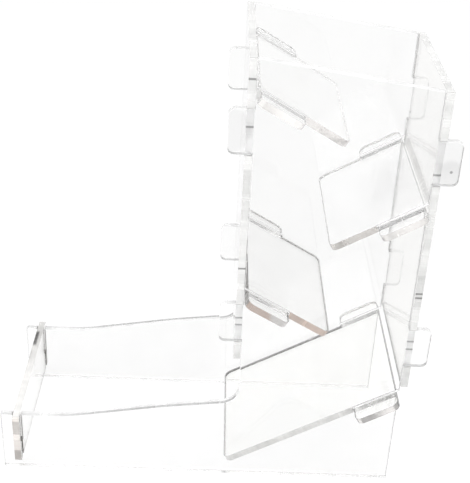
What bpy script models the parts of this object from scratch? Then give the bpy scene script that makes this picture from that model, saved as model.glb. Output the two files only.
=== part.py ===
"""Dice tower in clear acrylic sheet, with four ramps inside and a catch tray in front.

Nine laser-cut pieces slot together: two boot-shaped side panels, a front wall, a back wall,
four ramps and the end board of the tray. Dice go in at the open top and roll out at the foot.
Units are metres, +Z is up, the tray points along -X and the base centre is at the origin.
"""

import math

import bmesh
import bpy
from mathutils import Matrix, Vector

MM = 0.001

# Sheet stock and the clearance left between neighbouring pieces.
SHEET = 3.0 * MM
GAP = 0.3 * MM

# Side panels, measured from the front end of the tray.
PANEL_LENGTH = 175.0 * MM
TOWER_DEPTH = 70.0 * MM
TOWER_HEIGHT_FRONT = 200.0 * MM
TOWER_HEIGHT_BACK = 190.0 * MM
OUTER_WIDTH = 69.0 * MM
TRAY_WALL_HEIGHT = 30.0 * MM
TRAY_RISE_START = 29.0 * MM
TRAY_RISE_MIDDLE = (72.0 * MM, 37.4 * MM)
TRAY_RISE_END = (105.0 * MM, 41.6 * MM)
TRAY_FILLET_RADIUS = 8.5 * MM

# Tabs on the side panels that reach through the notches of the front and back walls.
TAB_LENGTH = 10.0 * MM
TAB_HEIGHT = 18.8 * MM
TAB_DROPS = (19.9 * MM, 107.0 * MM)
TAB_RADIUS = 2.6 * MM

# Front and back walls.
FRONT_WALL_BOTTOM = 65.0 * MM
BACK_WALL_BOTTOM = 53.0 * MM

# Ramps: the wide end sits in the slots of both side panels.
RAMP_ANGLE = math.radians(30.0)
RAMP_TAB_LENGTH = 20.0 * MM
RAMP_TAB_REACH = 7.5 * MM
RAMP_CORNER_RADIUS = 3.0 * MM
SHORT_RAMP_LENGTH = 41.0 * MM
EXIT_RAMP_LENGTH = 85.0 * MM
# Name, height of the seat at the wall, side it hangs from (-1 front, +1 back), length.
RAMPS = (
    ("ramp_1_upper_front", 185.0 * MM, -1, SHORT_RAMP_LENGTH),
    ("ramp_2_middle_back", 139.2 * MM, 1, SHORT_RAMP_LENGTH),
    ("ramp_3_lower_front", 96.6 * MM, -1, SHORT_RAMP_LENGTH),
    ("ramp_4_exit", 47.1 * MM, 1, EXIT_RAMP_LENGTH),
)

# End board of the tray, half-lapped over the side panels.
BOARD_FRONT = 5.7 * MM
BOARD_BOTTOM = 6.0 * MM
BOARD_TOP = 31.0 * MM
BOARD_REACH = 3.1 * MM
LAP_HEIGHT = 15.0 * MM

# Places that follow from the sizes above.
TOTAL_LENGTH = PANEL_LENGTH + TAB_LENGTH
ORIGIN_X = TOTAL_LENGTH / 2
FRONT_SHOULDER = PANEL_LENGTH - TOWER_DEPTH
INNER_WIDTH = OUTER_WIDTH - 2 * SHEET
PANEL_Y = (OUTER_WIDTH - SHEET) / 2

CLEAR = (0.93, 0.95, 0.95, 1.0)


def clear_scene():
    """Remove every object that the file starts with."""
    for item in list(bpy.data.objects):
        bpy.data.objects.remove(item, do_unlink=True)


def make_collection(name):
    """Add a collection to the scene and return it."""
    collection = bpy.data.collections.new(name)
    bpy.context.scene.collection.children.link(collection)
    return collection


def make_material(name, colour, roughness, metallic=0.0):
    """Return a clear Principled material."""
    material = bpy.data.materials.new(name)
    material.use_nodes = True
    shader = material.node_tree.nodes["Principled BSDF"]
    shader.inputs["Base Color"].default_value = colour
    shader.inputs["Roughness"].default_value = roughness
    shader.inputs["Metallic"].default_value = metallic
    shader.inputs["IOR"].default_value = 1.49
    shader.inputs["Transmission Weight"].default_value = 1.0
    material.diffuse_color = colour
    return material


def rounded_corner(before, corner, after, radius):
    """Points of the arc that rounds one corner of an outline."""
    if radius <= 0.0:
        return [corner]
    into = (before - corner).normalized()
    out = (after - corner).normalized()
    half = into.angle(out) / 2
    reach = radius / math.tan(half)
    centre = corner + (into + out).normalized() * (radius / math.sin(half))
    start = corner + into * reach - centre
    turn = math.pi - 2 * half
    side = 1.0 if into.x * out.y - into.y * out.x < 0.0 else -1.0
    steps = max(3, math.ceil(turn / math.radians(11.25)))
    points = []
    for step in range(steps + 1):
        spin = Matrix.Rotation(side * turn * step / steps, 2)
        points.append(centre + spin @ start)
    return points


def rounded_outline(corners):
    """Turn (u, v, radius) corners into the points of a closed outline."""
    points = []
    for index, (u, v, radius) in enumerate(corners):
        before = Vector(corners[index - 1][:2])
        after = Vector(corners[(index + 1) % len(corners)][:2])
        points += rounded_corner(before, Vector((u, v)), after, radius)
    return points


def add_sheet(name, corners, location, rotation, material, parent, collection):
    """Cut a flat piece of sheet to an outline and stand it in place."""
    curve = bpy.data.curves.new(name + "_outline", "CURVE")
    curve.dimensions = "2D"
    curve.fill_mode = "BOTH"
    curve.extrude = SHEET / 2
    points = rounded_outline(corners)
    spline = curve.splines.new("POLY")
    spline.points.add(len(points) - 1)
    for spline_point, point in zip(spline.points, points):
        spline_point.co = (point.x, point.y, 0.0, 1.0)
    spline.use_cyclic_u = True
    outline = bpy.data.objects.new(name + "_outline", curve)
    outline.location = location
    outline.rotation_euler = rotation
    collection.objects.link(outline)
    bpy.context.view_layer.update()

    evaluated = outline.evaluated_get(bpy.context.evaluated_depsgraph_get())
    mesh = bpy.data.meshes.new_from_object(evaluated)
    mesh.name = name
    weld = bmesh.new()
    weld.from_mesh(mesh)
    bmesh.ops.remove_doubles(weld, verts=weld.verts, dist=0.00001)
    bmesh.ops.dissolve_limit(
        weld, angle_limit=math.radians(0.2), verts=weld.verts, edges=weld.edges
    )
    bmesh.ops.recalc_face_normals(weld, faces=weld.faces)
    weld.to_mesh(mesh)
    weld.free()

    piece = bpy.data.objects.new(name, mesh)
    piece.matrix_world = outline.matrix_world.copy()
    collection.objects.link(piece)
    piece.parent = parent
    mesh.materials.clear()
    mesh.materials.append(material)
    bpy.data.objects.remove(outline, do_unlink=True)
    bpy.data.curves.remove(curve)
    return piece


def add_cutter(name, size, matrix, parent, collection):
    """Add a box that only cuts slots."""
    bpy.ops.mesh.primitive_cube_add(size=1.0)
    cutter = bpy.context.active_object
    cutter.name = name
    cutter.data.name = name
    cutter.data.transform(Matrix.Diagonal((*size, 1.0)))
    cutter.matrix_world = matrix
    for owner in list(cutter.users_collection):
        owner.objects.unlink(cutter)
    collection.objects.link(cutter)
    cutter.parent = parent
    cutter.hide_render = True
    cutter.display_type = "WIRE"
    return cutter


def cut(piece, cutter):
    """Take the cutter's shape out of the piece."""
    boolean = piece.modifiers.new(cutter.name, "BOOLEAN")
    boolean.operation = "DIFFERENCE"
    boolean.solver = "EXACT"
    boolean.object = cutter


def tab_corners(edge, top, outward):
    """Corners of one side-panel tab, from its lower root to its upper root."""
    tip = edge + outward * TAB_LENGTH
    low = top - TAB_HEIGHT
    return [
        (edge, low, 0.0),
        (tip, low, TAB_RADIUS),
        (tip, top, TAB_RADIUS),
        (edge, top, 0.0),
    ]


def side_panel_corners():
    """Outline of a side panel, going up the back and down the front of the tower."""
    slot_left = BOARD_FRONT - GAP
    slot_right = BOARD_FRONT + SHEET + GAP
    corners = [(0.0, 0.0, 0.5 * MM), (PANEL_LENGTH, 0.0, 0.5 * MM)]
    for drop in reversed(TAB_DROPS):
        corners += tab_corners(PANEL_LENGTH, TOWER_HEIGHT_BACK - drop, 1.0)
    corners.append((PANEL_LENGTH, TOWER_HEIGHT_BACK, 0.5 * MM))
    corners.append((FRONT_SHOULDER, TOWER_HEIGHT_FRONT, 0.5 * MM))
    for drop in TAB_DROPS:
        tab = tab_corners(FRONT_SHOULDER, TOWER_HEIGHT_FRONT - drop, -1.0)
        corners += reversed(tab)
    corners.append((*TRAY_RISE_END, TRAY_FILLET_RADIUS))
    corners.append((*TRAY_RISE_MIDDLE, 150.0 * MM))
    corners.append((TRAY_RISE_START, TRAY_WALL_HEIGHT, 80.0 * MM))
    corners.append((slot_right, TRAY_WALL_HEIGHT, 0.5 * MM))
    corners.append((slot_right, LAP_HEIGHT, 0.0))
    corners.append((slot_left, LAP_HEIGHT, 0.0))
    corners.append((slot_left, TRAY_WALL_HEIGHT, 0.5 * MM))
    corners.append((0.0, TRAY_WALL_HEIGHT, 0.5 * MM))
    return corners


def wall_corners(bottom, top):
    """Outline of a tower wall, with a notch in each side for every panel tab."""
    edge = OUTER_WIDTH / 2
    notch = INNER_WIDTH / 2 - GAP
    right = [(edge, bottom, 0.5 * MM)]
    for drop in reversed(TAB_DROPS):
        low = top - drop - TAB_HEIGHT - GAP
        high = top - drop + GAP
        right += [(edge, low, 0.0), (notch, low, 0.0)]
        right += [(notch, high, 0.0), (edge, high, 0.0)]
    right.append((edge, top, 0.5 * MM))
    left = [(-u, v, radius) for u, v, radius in reversed(right)]
    return right + left


def ramp_corners(length):
    """Outline of a ramp, with its wide end at u = 0."""
    wide = OUTER_WIDTH / 2 + RAMP_TAB_REACH
    body = INNER_WIDTH / 2 - GAP
    right = [
        (0.0, wide, RAMP_CORNER_RADIUS),
        (RAMP_TAB_LENGTH, wide, RAMP_CORNER_RADIUS),
        (RAMP_TAB_LENGTH, body, 0.0),
        (length, body, RAMP_CORNER_RADIUS),
    ]
    left = [(u, -v, radius) for u, v, radius in reversed(right)]
    return right + left


def board_corners():
    """Outline of the tray's end board, notched from below over each side panel."""
    end = OUTER_WIDTH / 2 + BOARD_REACH
    outer = OUTER_WIDTH / 2 + GAP
    inner = INNER_WIDTH / 2 - GAP
    lap = LAP_HEIGHT + GAP
    right = [
        (inner, BOARD_BOTTOM, 0.5 * MM),
        (inner, lap, 0.0),
        (outer, lap, 0.0),
        (outer, BOARD_BOTTOM, 0.5 * MM),
        (end, BOARD_BOTTOM, 1.0 * MM),
        (end, BOARD_TOP, 1.5 * MM),
    ]
    left = [(-u, v, radius) for u, v, radius in reversed(right)]
    return right + left


def ramp_matrix(seat_height, side):
    """Middle of a ramp's upper edge, with local +X running down the slope."""
    shoulder = PANEL_LENGTH if side > 0 else FRONT_SHOULDER
    lean = -side * math.sin(RAMP_ANGLE) * SHEET / 2
    rise = math.cos(RAMP_ANGLE) * SHEET / 2
    spot = Vector((shoulder - ORIGIN_X + lean, 0.0, seat_height + rise))
    turn = math.pi if side > 0 else 0.0
    return (
        Matrix.Translation(spot)
        @ Matrix.Rotation(turn, 4, "Z")
        @ Matrix.Rotation(RAMP_ANGLE, 4, "Y")
    )


def build():
    """Make every piece of the dice tower."""
    clear_scene()
    parts = make_collection("dice_tower")
    cutters = make_collection("slot_cutters")
    root = bpy.data.objects.new("dice_tower_root", None)
    parts.objects.link(root)

    upright = (math.radians(90.0), 0.0, 0.0)
    across = (math.radians(90.0), 0.0, math.radians(90.0))

    sides = []
    for name, sign in (("side_panel_left", 1.0), ("side_panel_right", -1.0)):
        material = make_material(name + "_acrylic", CLEAR, 0.04)
        place = (-ORIGIN_X, sign * PANEL_Y, 0.0)
        corners = side_panel_corners()
        sides.append(add_sheet(name, corners, place, upright, material, root, parts))

    wall_offset = GAP + SHEET / 2
    material = make_material("front_wall_acrylic", CLEAR, 0.04)
    place = (FRONT_SHOULDER - wall_offset - ORIGIN_X, 0.0, 0.0)
    corners = wall_corners(FRONT_WALL_BOTTOM, TOWER_HEIGHT_FRONT)
    add_sheet("front_wall", corners, place, across, material, root, parts)

    material = make_material("back_wall_acrylic", CLEAR, 0.04)
    place = (PANEL_LENGTH + wall_offset - ORIGIN_X, 0.0, 0.0)
    corners = wall_corners(BACK_WALL_BOTTOM, TOWER_HEIGHT_BACK)
    add_sheet("back_wall", corners, place, across, material, root, parts)

    slot_reach = 6.0 * MM
    for name, seat_height, side, length in RAMPS:
        material = make_material(name + "_acrylic", CLEAR, 0.04)
        matrix = ramp_matrix(seat_height, side)
        place = matrix.to_translation()
        turn = matrix.to_euler()
        add_sheet(name, ramp_corners(length), place, turn, material, root, parts)
        slot_length = RAMP_TAB_LENGTH + GAP + slot_reach
        slot_middle = (RAMP_TAB_LENGTH + GAP - slot_reach) / 2
        slot_size = (slot_length, 2 * OUTER_WIDTH, SHEET + 2 * GAP)
        slot_matrix = matrix @ Matrix.Translation((slot_middle, 0.0, 0.0))
        cutter = add_cutter(name + "_slot", slot_size, slot_matrix, root, cutters)
        for panel in sides:
            cut(panel, cutter)

    material = make_material("tray_end_board_acrylic", CLEAR, 0.04)
    place = (BOARD_FRONT + SHEET / 2 - ORIGIN_X, 0.0, 0.0)
    add_sheet("tray_end_board", board_corners(), place, across, material, root, parts)


build()
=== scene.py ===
"""Looks for the clear acrylic dice tower: bevelled sheets, laser-cut edges and a white studio."""

import math

import bmesh
import bpy
from mathutils import Matrix, Vector


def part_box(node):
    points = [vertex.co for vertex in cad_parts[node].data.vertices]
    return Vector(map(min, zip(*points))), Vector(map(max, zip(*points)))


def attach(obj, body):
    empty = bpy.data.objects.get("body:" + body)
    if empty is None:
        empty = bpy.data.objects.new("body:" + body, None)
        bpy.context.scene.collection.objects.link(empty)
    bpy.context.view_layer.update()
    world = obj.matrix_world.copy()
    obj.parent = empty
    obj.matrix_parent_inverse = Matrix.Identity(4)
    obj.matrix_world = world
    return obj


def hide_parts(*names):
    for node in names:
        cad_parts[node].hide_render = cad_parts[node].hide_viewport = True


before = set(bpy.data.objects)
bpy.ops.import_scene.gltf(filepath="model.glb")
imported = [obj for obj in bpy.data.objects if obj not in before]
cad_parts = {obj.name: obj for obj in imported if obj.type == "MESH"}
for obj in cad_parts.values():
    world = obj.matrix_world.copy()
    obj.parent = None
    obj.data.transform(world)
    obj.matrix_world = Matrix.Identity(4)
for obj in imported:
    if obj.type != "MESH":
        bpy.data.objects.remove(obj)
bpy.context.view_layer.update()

MM = 0.001
ACRYLIC_IOR = 1.49

# Camera, given in the row frame. Azimuth 0 looks along +Y.
CAMERA_PLACE = Vector((-2.13, -386.98, 327.74)) * MM
CAMERA_AZIMUTH = math.radians(-1.545)
CAMERA_ELEVATION = math.radians(30.126)
CAMERA_ROLL = math.radians(3.0)
CAMERA_LENS_MM = 76.1

# Where the sheets meet, from the CAD.
RAMPS = [node for node in sorted(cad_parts) if node.startswith("ramp")]
PANEL_LOW, PANEL_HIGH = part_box("side_panel_left")
PANEL_INSIDE = PANEL_LOW.y
PANEL_OUTSIDE = PANEL_HIGH.y
BOARD_LOW, BOARD_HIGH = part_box("tray_end_board")
LAP_TOP = 16.0 * MM
FRONT_WALL_LOW, FRONT_WALL_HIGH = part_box("front_wall")
FRONT_SHOULDER = FRONT_WALL_HIGH.x + 0.3 * MM
BACK_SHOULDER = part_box("back_wall")[0].x - 0.3 * MM
CLOSE = 0.5 * MM

# Rounding where a cut edge meets a face.
RIM_WIDTH = 0.12 * MM
RIM_SEGMENTS = 2
SMOOTH_ANGLE = math.radians(28.0)

# Tint of one sheet's thickness.
SHEET_TINT = {
    "side_panel_left": (0.967, 0.967, 0.965),
    "side_panel_right": (0.967, 0.967, 0.966),
    "front_wall": (0.970, 0.970, 0.967),
    "back_wall": (0.956, 0.951, 0.941),
    "ramp_1_upper_front": (1.000, 0.999, 0.996),
    "ramp_2_middle_back": (0.990, 0.990, 0.992),
    "ramp_3_lower_front": (0.930, 0.928, 0.924),
    "ramp_4_exit": (1.000, 0.999, 0.988),
    "tray_end_board": (0.965, 0.962, 0.955),
}

# Sheets cloudier than the rest.
CLOUDY = {"ramp_3_lower_front": 0.02}

# Greyer patches on the faces: middle in mm, inner and outer radius in mm, shade. On the far tray
# wall and on ramp 2 near the back wall they are painted shade; on the near panel they darken its
# tabs and put a dark dot on one.
GREY_PATCHES_AND_PAINTED_SHADE = {
    "side_panel_left": (((-45.0, 33.0, 22.0), 40.0, 62.0, 0.955),),
    "side_panel_right": (
        ((2.0, -33.0, 171.0), 8.5, 10.5, 0.93),
        ((88.5, -33.0, 165.0), 6.0, 12.0, 0.945),
        ((89.0, -33.0, 156.5), 4.5, 6.5, 0.88),
        ((89.0, -34.5, 157.5), 0.4, 0.8, 0.25),
    ),
    "ramp_2_middle_back": (((80.0, 0.0, 139.0), 8.0, 30.0, 0.93),),
}

# Cut edges as (tint, clarity). For each sheet: the edges that face the tower's right side, then
# all the others. Their darkness is painted shade, standing in for the dark that refraction shows
# in clear cut edges.
CUT_EDGE_TINTS_AND_PAINTED_SHADE = {
    "side_panel_left": (((0.97, 0.97, 0.97), 0.3), ((0.96, 0.96, 0.96), 0.3)),
    "side_panel_right": (((0.97, 0.97, 0.97), 0.3), ((0.93, 0.93, 0.93), 0.3)),
    "front_wall": (((0.88, 0.88, 0.87), 0.4), ((0.95, 0.95, 0.94), 0.4)),
    "back_wall": (((0.84, 0.84, 0.83), 0.4), ((0.97, 0.97, 0.96), 0.4)),
    "ramp_1_upper_front": (((1.00, 0.945, 0.915), 0.95), ((1.00, 1.00, 0.99), 1.0)),
    "ramp_2_middle_back": (((1.00, 0.94, 0.89), 0.7), ((0.90, 0.90, 0.89), 0.6)),
    "ramp_3_lower_front": (((1.00, 0.80, 0.69), 0.3), ((0.44, 0.43, 0.42), 0.5)),
    "ramp_4_exit": (((1.00, 0.99, 0.97), 0.0), ((0.38, 0.38, 0.38), 0.5)),
    "tray_end_board": (((0.93, 0.88, 0.84), 0.4), ((0.99, 0.98, 0.965), 0.5)),
}
# Edges on the tower's left side that differ from the rest, and the slots cut for each ramp.
# Ramp 4's near-black left edge is painted shade, for the dark line that refraction shows along it.
LEFT_EDGE_PAINTED_SHADE = {"ramp_4_exit": ((0.04, 0.04, 0.04), 0.2)}
RAMP_SLOTS = {
    "ramp_1_upper_front": ((1.00, 0.98, 0.97), 1.0),
    "ramp_2_middle_back": ((1.00, 0.99, 0.98), 1.0),
    "ramp_3_lower_front": ((1.00, 0.98, 0.97), 1.0),
    "ramp_4_exit": ((0.98, 0.98, 0.97), 1.0),
}
TAB_END = ((1.00, 0.975, 0.955), 0.7)
TRAY_RIM = ((0.90, 0.90, 0.90), 0.5)
FOOT = ((0.98, 0.98, 0.98), 1.0)
# Notch faces greyer: painted shade, so the notches show as dark bars.
NOTCH_PAINTED_SHADE = ((0.75, 0.74, 0.73), 0.6)
# Notch floors white and opaque: painted light.
NOTCH_FLOOR_PAINTED_LIGHT = ((1.00, 1.00, 1.00), 0.0)
# Lap slot faces near black: painted shade where the joint looks dark.
LAP_SLOT_PAINTED_SHADE = ((0.10, 0.09, 0.08), 0.4)

# Painted glow on the notch floors, standing in for light that runs along a sheet and comes out of its
# notches.
NOTCH_PAINTED_GLOW = 0.12

# Painted shade on the outer half of the tray walls' rims, for the dark line a clear rim shows:
# shade at the tray's end, shade from there to the tower, and where along X in mm the one turns
# into the other.
RIM_PAINTED_SHADES = (0.85, 0.50)
RIM_TURN = (-72.0, -52.0)

# Darker bands across the right-hand edges: height and reach in mm, shade.
DARK_BANDS = {
    "front_wall": (
        (192.0, 0.15, 0.3),
        (172.0, 0.15, 0.3),
        (144.0, 11.0, 0.86),
        (110.5, 0.15, 0.3),
        (85.0, 0.15, 0.3),
        (81.5, 0.15, 0.3),
    ),
    "back_wall": (
        (155.0, 0.15, 0.3),
        (102.0, 8.0, 0.88),
        (101.5, 0.15, 0.3),
        (99.5, 0.15, 0.3),
        (76.0, 0.15, 0.3),
        (74.0, 6.0, 0.92),
        (72.0, 0.15, 0.3),
    ),
    "ramp_1_upper_front": ((168.5, 0.1, 0.6), (167.5, 0.3, 0.55), (166.5, 0.1, 0.65)),
    "tray_end_board": ((25.0, 3.5, 0.66), (9.0, 3.0, 0.60)),
}
DARK_BAND_FADE = 0.5

# Dark wedge on the outer side of the tray board's top edge: middle, reach and width in mm, and
# the share of light it takes.
WEDGE_MIDDLE = 22.5
WEDGE_REACH = 5.5
WEDGE_WIDTH = 1.6
WEDGE_SHARE = 0.85

# The stretch of ramp 3's right-hand tab end that came out brown: how far back from its front end
# in mm it starts to fade and has gone.
BURNT_EDGE = ("ramp_3_lower_front", "tab_end")
BURNT_STRETCH = (9.5, 12.0)
BURNT_TINT = (0.74, 0.60, 0.53)

# Polished faces: clouds, smudges and the slow waves of rolled sheet.
CLOUD_SIZE = 14.0 * MM
CLOUD_DEPTH = 0.008
SMUDGE_SIZE = 9.0 * MM
SMUDGE_ROUGHNESS = 0.10
WAVE_SIZE = 30.0 * MM
WAVE_HEIGHT = 0.03 * MM

# Laser-cut edges: streaks across the thickness and patches along the cut.
STREAK_SIZE = 0.5 * MM
STREAK_STRETCH = 25.0
STREAK_SHADES = (0.95, 1.04)
STREAK_HEIGHT = 0.02 * MM
PATCH_SIZE = 7.0 * MM
PATCH_SHADES = (0.85, 1.08)
PATCH_ROUGHNESS = (0.12, 0.32)

# The middle part of a noise texture's range, which holds nearly all of it.
NOISE_RANGE = (0.3, 0.7)

# Floor: side in metres, drop below the object, shade, and its glow in front of and behind the
# object with the stretch along Y in mm where the one turns into the other.
FLOOR_SIDE = 12.0
FLOOR_DROP = 0.02 * MM
FLOOR_SHADE = 0.12
FLOOR_GLOWS = (0.935, 0.872)
FLOOR_TURN = (50.0, 200.0)

# Sky and dark cards: strengths, and where in direction a card's soft edges begin and end.
SKY_STRENGTH = 1.02
CARD_STRENGTH = 0.30
CARD_SIDE = (0.75, 0.88)
CARD_FOOT = (0.08, 0.18)

# Light has to find its way through many clear faces.
BOUNCES = 96

# Soft lights: name, place in metres, side in metres and power in watts.
SOFTBOXES = (
    ("softbox_top", (-0.1, -0.2, 1.2), 0.8, 2.0),
    ("softbox_front", (-0.3, -1.0, 0.9), 1.0, 8.0),
)


def node_tree(name):
    """A new material with an empty tree, and its output node."""
    material = bpy.data.materials.new(name)
    material.use_nodes = True
    tree = material.node_tree
    tree.nodes.clear()
    output = tree.nodes.new("ShaderNodeOutputMaterial")
    return material, tree, output


def sheet_coordinates(tree, across, stretch):
    """Position in the sheet's own frame, stretched by a factor along its thickness."""
    place = tree.nodes.new("ShaderNodeTexCoord")
    turn = tree.nodes.new("ShaderNodeMapping")
    turn.vector_type = "TEXTURE"
    upright = Vector((0.0, 0.0, 1.0))
    turn.inputs["Rotation"].default_value = upright.rotation_difference(across).to_euler()
    turn.inputs["Scale"].default_value = (1.0, 1.0, stretch)
    tree.links.new(place.outputs["Object"], turn.inputs["Vector"])
    return turn.outputs["Vector"]


def along(tree, axis):
    """Position along one axis of the row frame."""
    place = tree.nodes.new("ShaderNodeTexCoord")
    split = tree.nodes.new("ShaderNodeSeparateXYZ")
    tree.links.new(place.outputs["Object"], split.inputs["Vector"])
    return split.outputs[axis]


def noise(tree, vector, size, detail=2.0):
    """Soft noise with patches of about the given size."""
    texture = tree.nodes.new("ShaderNodeTexNoise")
    texture.inputs["Scale"].default_value = 1.0 / size
    texture.inputs["Detail"].default_value = detail
    tree.links.new(vector, texture.inputs["Vector"])
    return texture.outputs["Fac"]


def span(tree, value, from_low, from_high, to_low, to_high, smooth=False):
    """Map a value from one range to another, clamped."""
    step = tree.nodes.new("ShaderNodeMapRange")
    step.interpolation_type = "SMOOTHSTEP" if smooth else "LINEAR"
    step.inputs["From Min"].default_value = from_low
    step.inputs["From Max"].default_value = from_high
    step.inputs["To Min"].default_value = to_low
    step.inputs["To Max"].default_value = to_high
    tree.links.new(value, step.inputs["Value"])
    return step.outputs["Result"]


def combine(tree, operation, first, second):
    """One math node on two sockets or numbers."""
    step = tree.nodes.new("ShaderNodeMath")
    step.operation = operation
    for socket, value in zip(step.inputs, (first, second)):
        if isinstance(value, (int, float)):
            socket.default_value = value
        else:
            tree.links.new(value, socket)
    return step.outputs["Value"]


def shaded(tree, colour, shade):
    """A colour darkened by a grey value."""
    mix = tree.nodes.new("ShaderNodeVectorMath")
    mix.operation = "SCALE"
    mix.inputs[0].default_value = colour
    tree.links.new(shade, mix.inputs["Scale"])
    return mix.outputs["Vector"]


def bumped(tree, height, distance, strength):
    """A bump normal from a height."""
    bump = tree.nodes.new("ShaderNodeBump")
    bump.inputs["Strength"].default_value = strength
    bump.inputs["Distance"].default_value = distance
    tree.links.new(height, bump.inputs["Height"])
    return bump.outputs["Normal"]


def acrylic(tree, output, clarity):
    """The clear plastic's shader."""
    shader = tree.nodes.new("ShaderNodeBsdfPrincipled")
    shader.inputs["IOR"].default_value = ACRYLIC_IOR
    shader.inputs["Transmission Weight"].default_value = clarity
    tree.links.new(shader.outputs["BSDF"], output.inputs["Surface"])
    return shader


def patched_grey_and_painted_shade(tree, shade, patches):
    """The shade with soft greyer patches on it, some of them painted shade."""
    place = tree.nodes.new("ShaderNodeTexCoord")
    for middle, inner, outer, grey in patches:
        reach = tree.nodes.new("ShaderNodeVectorMath")
        reach.operation = "DISTANCE"
        reach.inputs[1].default_value = Vector(middle) * MM
        tree.links.new(place.outputs["Object"], reach.inputs[0])
        patch = span(tree, reach.outputs["Value"], inner * MM, outer * MM, grey, 1.0, smooth=True)
        shade = combine(tree, "MULTIPLY", shade, patch)
    return shade


def face_material(node, across):
    """Polished face: clear, faintly cloudy, with wiped smudges and the slow waves of rolled sheet."""
    material, tree, output = node_tree(node + "_face")
    shader = acrylic(tree, output, 1.0)
    place = sheet_coordinates(tree, across, 1.0)
    clouds = noise(tree, place, CLOUD_SIZE, 3.0)
    depth = CLOUDY.get(node, CLOUD_DEPTH)
    shade = span(tree, clouds, *NOISE_RANGE, 1.0 - depth, 1.0 + depth)
    # Greyer patches, some of them painted shade.
    shade = patched_grey_and_painted_shade(tree, shade, GREY_PATCHES_AND_PAINTED_SHADE.get(node, ()))
    tree.links.new(shaded(tree, SHEET_TINT[node], shade), shader.inputs["Base Color"])
    smudges = noise(tree, place, SMUDGE_SIZE, 4.0)
    roughness = span(tree, smudges, 0.5, 0.75, 0.0, SMUDGE_ROUGHNESS)
    tree.links.new(roughness, shader.inputs["Roughness"])
    waves = noise(tree, place, WAVE_SIZE, 0.0)
    tree.links.new(bumped(tree, waves, WAVE_HEIGHT, 0.3), shader.inputs["Normal"])
    return material


def with_dark_bands(tree, shade, marks):
    """The shade with darker marks across the edge."""
    for height, reach, grey in marks:
        away = combine(tree, "SUBTRACT", along(tree, "Z"), height * MM)
        away = combine(tree, "ABSOLUTE", away, 0.0)
        end = reach + DARK_BAND_FADE
        mark = span(tree, away, reach * MM, end * MM, grey, 1.0, smooth=True)
        shade = combine(tree, "MULTIPLY", shade, mark)
    return shade


def darkened(tree, shade, amount, share):
    """The shade less a share of itself wherever the amount is one."""
    lost = combine(tree, "MULTIPLY", amount, share)
    return combine(tree, "MULTIPLY", shade, combine(tree, "SUBTRACT", 1.0, lost))


def painted_rim_shade(tree, shade):
    """Painted shade on a tray wall's rim: darker on its outer half and towards the tower."""
    side = combine(tree, "ABSOLUTE", along(tree, "Y"), 0.0)
    middle = (PANEL_INSIDE + PANEL_OUTSIDE) / 2.0
    outer = span(tree, side, middle - 0.4 * MM, middle + 0.4 * MM, 0.0, 1.0, smooth=True)
    start, end = (place * MM for place in RIM_TURN)
    share = span(tree, along(tree, "X"), start, end, 1.0 - RIM_PAINTED_SHADES[0], 1.0 - RIM_PAINTED_SHADES[1])
    return darkened(tree, shade, outer, share)


def wedge_shade(tree, shade):
    """The shade with the wedge on the tray board's top edge."""
    away = combine(tree, "SUBTRACT", along(tree, "Y"), WEDGE_MIDDLE * MM)
    away = combine(tree, "ABSOLUTE", away, 0.0)
    reach = span(tree, away, (WEDGE_REACH - 1.0) * MM, (WEDGE_REACH + 1.0) * MM, 1.0, 0.0)
    width = combine(tree, "SUBTRACT", along(tree, "X"), BOARD_LOW.x)
    width = span(tree, width, (WEDGE_WIDTH - 0.4) * MM, (WEDGE_WIDTH + 0.4) * MM, 1.0, 0.0)
    return darkened(tree, shade, combine(tree, "MULTIPLY", reach, width), WEDGE_SHARE)


def burnt(tree, colour, start):
    """The colour with a burnt stretch that starts at a place along X, on the tower's right side."""
    full, gone = (start + reach * MM for reach in BURNT_STRETCH)
    stretch = span(tree, along(tree, "X"), full, gone, 1.0, 0.0, smooth=True)
    right = span(tree, along(tree, "Y"), -MM, MM, 1.0, 0.0)
    mix = tree.nodes.new("ShaderNodeMixRGB")
    mix.inputs["Color2"].default_value = (*BURNT_TINT, 1.0)
    tree.links.new(colour, mix.inputs["Color1"])
    tree.links.new(combine(tree, "MULTIPLY", stretch, right), mix.inputs["Fac"])
    return mix.outputs["Color"]


def edge_material(node, kind, across):
    """Laser-cut edge: streaks across the thickness, dull patches along the cut."""
    material, tree, output = node_tree(node + "_edge_" + kind)
    tint, clarity = edge_look(node, kind)
    shader = acrylic(tree, output, clarity)
    place = sheet_coordinates(tree, across, STREAK_STRETCH)
    streaks = noise(tree, place, STREAK_SIZE, 1.0)
    patches = noise(tree, place, PATCH_SIZE, 2.0)
    shade = combine(
        tree,
        "MULTIPLY",
        span(tree, streaks, *NOISE_RANGE, *STREAK_SHADES),
        span(tree, patches, *NOISE_RANGE, *PATCH_SHADES),
    )
    if kind in ("right", "notch_floor"):
        shade = with_dark_bands(tree, shade, DARK_BANDS.get(node, ()))
    if kind == "notch_floor":
        # Painted glow on the notch floors.
        shader.inputs["Emission Strength"].default_value = NOTCH_PAINTED_GLOW
    if kind == "tray_rim":
        # Painted shade on the tray rims.
        shade = painted_rim_shade(tree, shade)
    if (node, kind) == ("tray_end_board", "rest"):
        shade = wedge_shade(tree, shade)
    colour = shaded(tree, tint, shade)
    if (node, kind) == BURNT_EDGE:
        colour = burnt(tree, colour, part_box(node)[0].x)
    tree.links.new(colour, shader.inputs["Base Color"])
    roughness = span(tree, patches, *NOISE_RANGE, *PATCH_ROUGHNESS)
    tree.links.new(roughness, shader.inputs["Roughness"])
    tree.links.new(bumped(tree, streaks, STREAK_HEIGHT, 0.4), shader.inputs["Normal"])
    return material


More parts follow.
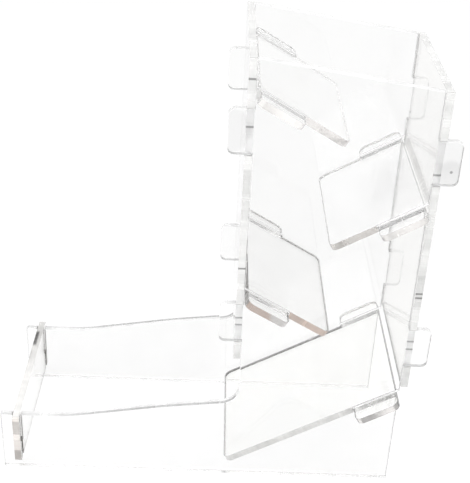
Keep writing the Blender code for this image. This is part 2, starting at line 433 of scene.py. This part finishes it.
def edge_kind(node, normal, middle):
    """Which kind of cut edge a face of a sheet is."""
    side = abs(middle.y)
    if node.startswith("side_panel"):
        if FRONT_SHOULDER + CLOSE < middle.x < BACK_SHOULDER - CLOSE:
            for ramp in RAMPS:
                low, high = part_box(ramp)
                if low.z - CLOSE < middle.z < high.z + CLOSE:
                    return ramp
        if normal.z < -0.5 and middle.z < CLOSE or middle.x < PANEL_LOW.x + CLOSE:
            return "foot"
        if middle.x < FRONT_SHOULDER and middle.z > BOARD_LOW.z:
            if BOARD_LOW.x - CLOSE < middle.x < BOARD_HIGH.x + CLOSE:
                return "lap_slot"
            if normal.z > 0.5 and middle.z < FRONT_WALL_LOW.z:
                return "tray_rim"
    elif node.startswith("ramp"):
        if side > PANEL_OUTSIDE + CLOSE and abs(normal.y) > 0.5:
            return "tab_end"
        if normal.y > 0.5:
            return "left"
    elif node == "tray_end_board":
        if PANEL_INSIDE - CLOSE < side < PANEL_OUTSIDE + CLOSE and middle.z < LAP_TOP:
            return "lap_slot"
    elif PANEL_INSIDE - CLOSE < side < PANEL_OUTSIDE - CLOSE / 2:
        return "notch" if abs(normal.z) > 0.5 else "notch_floor"
    return "right" if normal.y < -0.5 else "rest"


def edge_look(node, kind):
    """Tint and clarity of a kind of cut edge."""
    looks = {
        "right": CUT_EDGE_TINTS_AND_PAINTED_SHADE[node][0],
        "rest": CUT_EDGE_TINTS_AND_PAINTED_SHADE[node][1],
        "left": LEFT_EDGE_PAINTED_SHADE.get(node, CUT_EDGE_TINTS_AND_PAINTED_SHADE[node][1]),
        "tab_end": TAB_END,
        "tray_rim": TRAY_RIM,
        "foot": FOOT,
        "notch": NOTCH_PAINTED_SHADE,
        "notch_floor": NOTCH_FLOOR_PAINTED_LIGHT,
        "lap_slot": LAP_SLOT_PAINTED_SHADE,
    }
    return looks[kind] if kind in looks else RAMP_SLOTS[kind]


def make_sheet(node):
    """A bevelled copy of a CAD sheet, with its faces and its cut edges in their own materials."""
    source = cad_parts[node]
    mesh = bmesh.new()
    mesh.from_mesh(source.data)
    bmesh.ops.remove_doubles(mesh, verts=mesh.verts, dist=0.01 * MM)
    bmesh.ops.dissolve_limit(mesh, angle_limit=math.radians(0.5), verts=mesh.verts, edges=mesh.edges)
    across = max(mesh.faces, key=lambda item: item.calc_area()).normal.copy()
    rim = []
    for item in mesh.edges:
        flat = [abs(near.normal.dot(across)) > 0.9 for near in item.link_faces]
        if any(flat) and not all(flat):
            rim.append(item)
    bmesh.ops.bevel(
        mesh,
        geom=rim,
        offset=RIM_WIDTH,
        offset_type="OFFSET",
        segments=RIM_SEGMENTS,
        profile=0.6,
        affect="EDGES",
    )
    mesh.normal_update()
    data = bpy.data.meshes.new(node + "_sheet")
    data.materials.append(face_material(node, across))
    kinds = []
    for item in mesh.faces:
        if abs(item.normal.dot(across)) > 0.999:
            item.smooth = False
            continue
        kind = edge_kind(node, item.normal, item.calc_center_median())
        if kind not in kinds:
            kinds.append(kind)
            data.materials.append(edge_material(node, kind, across))
        item.material_index = 1 + kinds.index(kind)
        item.smooth = True
    for item in mesh.edges:
        item.smooth = item.calc_face_angle() < SMOOTH_ANGLE
    mesh.to_mesh(data)
    mesh.free()
    if "custom_normal" in data.attributes:
        data.attributes.remove(data.attributes["custom_normal"])
    piece = bpy.data.objects.new(node + "_sheet", data)
    bpy.context.scene.collection.objects.link(piece)
    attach(piece, "root")
    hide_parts(node)
    return piece


def make_floor():
    """Plain white floor that glows softly, brightest in front of the object."""
    bpy.ops.mesh.primitive_plane_add(size=FLOOR_SIDE, location=(0.0, 0.0, -FLOOR_DROP))
    floor = bpy.context.active_object
    floor.name = "floor"
    material, tree, output = node_tree("floor_white")
    shader = tree.nodes.new("ShaderNodeBsdfPrincipled")
    shader.inputs["Base Color"].default_value = (*(FLOOR_SHADE,) * 3, 1.0)
    shader.inputs["Roughness"].default_value = 1.0
    shader.inputs["Specular IOR Level"].default_value = 0.0
    shader.inputs["Emission Color"].default_value = (1.0, 1.0, 1.0, 1.0)
    start, end = (place * MM for place in FLOOR_TURN)
    glow = span(tree, along(tree, "Y"), start, end, *FLOOR_GLOWS, smooth=True)
    tree.links.new(glow, shader.inputs["Emission Strength"])
    tree.links.new(shader.outputs["BSDF"], output.inputs["Surface"])
    floor.data.materials.append(material)


def make_world():
    """White surroundings with a dark card on the left and on the right, which outline clear edges."""
    world = bpy.data.worlds.new("studio")
    bpy.context.scene.world = world
    world.use_nodes = True
    tree = world.node_tree
    background = tree.nodes["Background"]
    background.inputs["Color"].default_value = (1.0, 1.0, 1.0, 1.0)
    place = tree.nodes.new("ShaderNodeTexCoord")
    split = tree.nodes.new("ShaderNodeSeparateXYZ")
    tree.links.new(place.outputs["Generated"], split.inputs["Vector"])
    sideways = combine(tree, "ABSOLUTE", split.outputs["X"], 0.0)
    card = combine(
        tree,
        "MULTIPLY",
        span(tree, sideways, *CARD_SIDE, 0.0, 1.0, smooth=True),
        span(tree, split.outputs["Z"], *CARD_FOOT, 0.0, 1.0, smooth=True),
    )
    seen = tree.nodes.new("ShaderNodeLightPath")
    hidden = combine(tree, "SUBTRACT", 1.0, seen.outputs["Is Camera Ray"])
    darkness = combine(tree, "MULTIPLY", card, hidden)
    strength = span(tree, darkness, 0.0, 1.0, SKY_STRENGTH, CARD_STRENGTH)
    tree.links.new(strength, background.inputs["Strength"])


def make_softboxes():
    """Two wide soft lights, one overhead and one high in front."""
    for name, place, size, power in SOFTBOXES:
        data = bpy.data.lights.new(name, "AREA")
        data.shape = "SQUARE"
        data.size = size
        data.energy = power
        light = bpy.data.objects.new(name, data)
        light.location = place
        light.rotation_euler = (-light.location).to_track_quat("-Z", "Y").to_euler()
        bpy.context.scene.collection.objects.link(light)


def make_camera():
    """Camera at the product picture's angle."""
    data = bpy.data.cameras.new("camera")
    data.lens = CAMERA_LENS_MM
    data.clip_start = 0.01
    data.clip_end = 50.0
    camera = bpy.data.objects.new("camera", data)
    bpy.context.scene.collection.objects.link(camera)
    back = Vector(
        (
            math.sin(CAMERA_AZIMUTH) * math.cos(CAMERA_ELEVATION),
            -math.cos(CAMERA_AZIMUTH) * math.cos(CAMERA_ELEVATION),
            math.sin(CAMERA_ELEVATION),
        )
    )
    turn = (-back).to_track_quat("-Z", "Y").to_matrix().to_4x4()
    roll = Matrix.Rotation(CAMERA_ROLL, 4, "Z")
    camera.matrix_world = Matrix.Translation(CAMERA_PLACE) @ turn @ roll
    bpy.context.scene.camera = camera


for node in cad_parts:
    make_sheet(node)
make_floor()
make_world()
make_softboxes()
make_camera()

scene = bpy.context.scene
scene.view_settings.view_transform = "Standard"
scene.cycles.max_bounces = BOUNCES
scene.cycles.transmission_bounces = BOUNCES
scene.cycles.glossy_bounces = BOUNCES
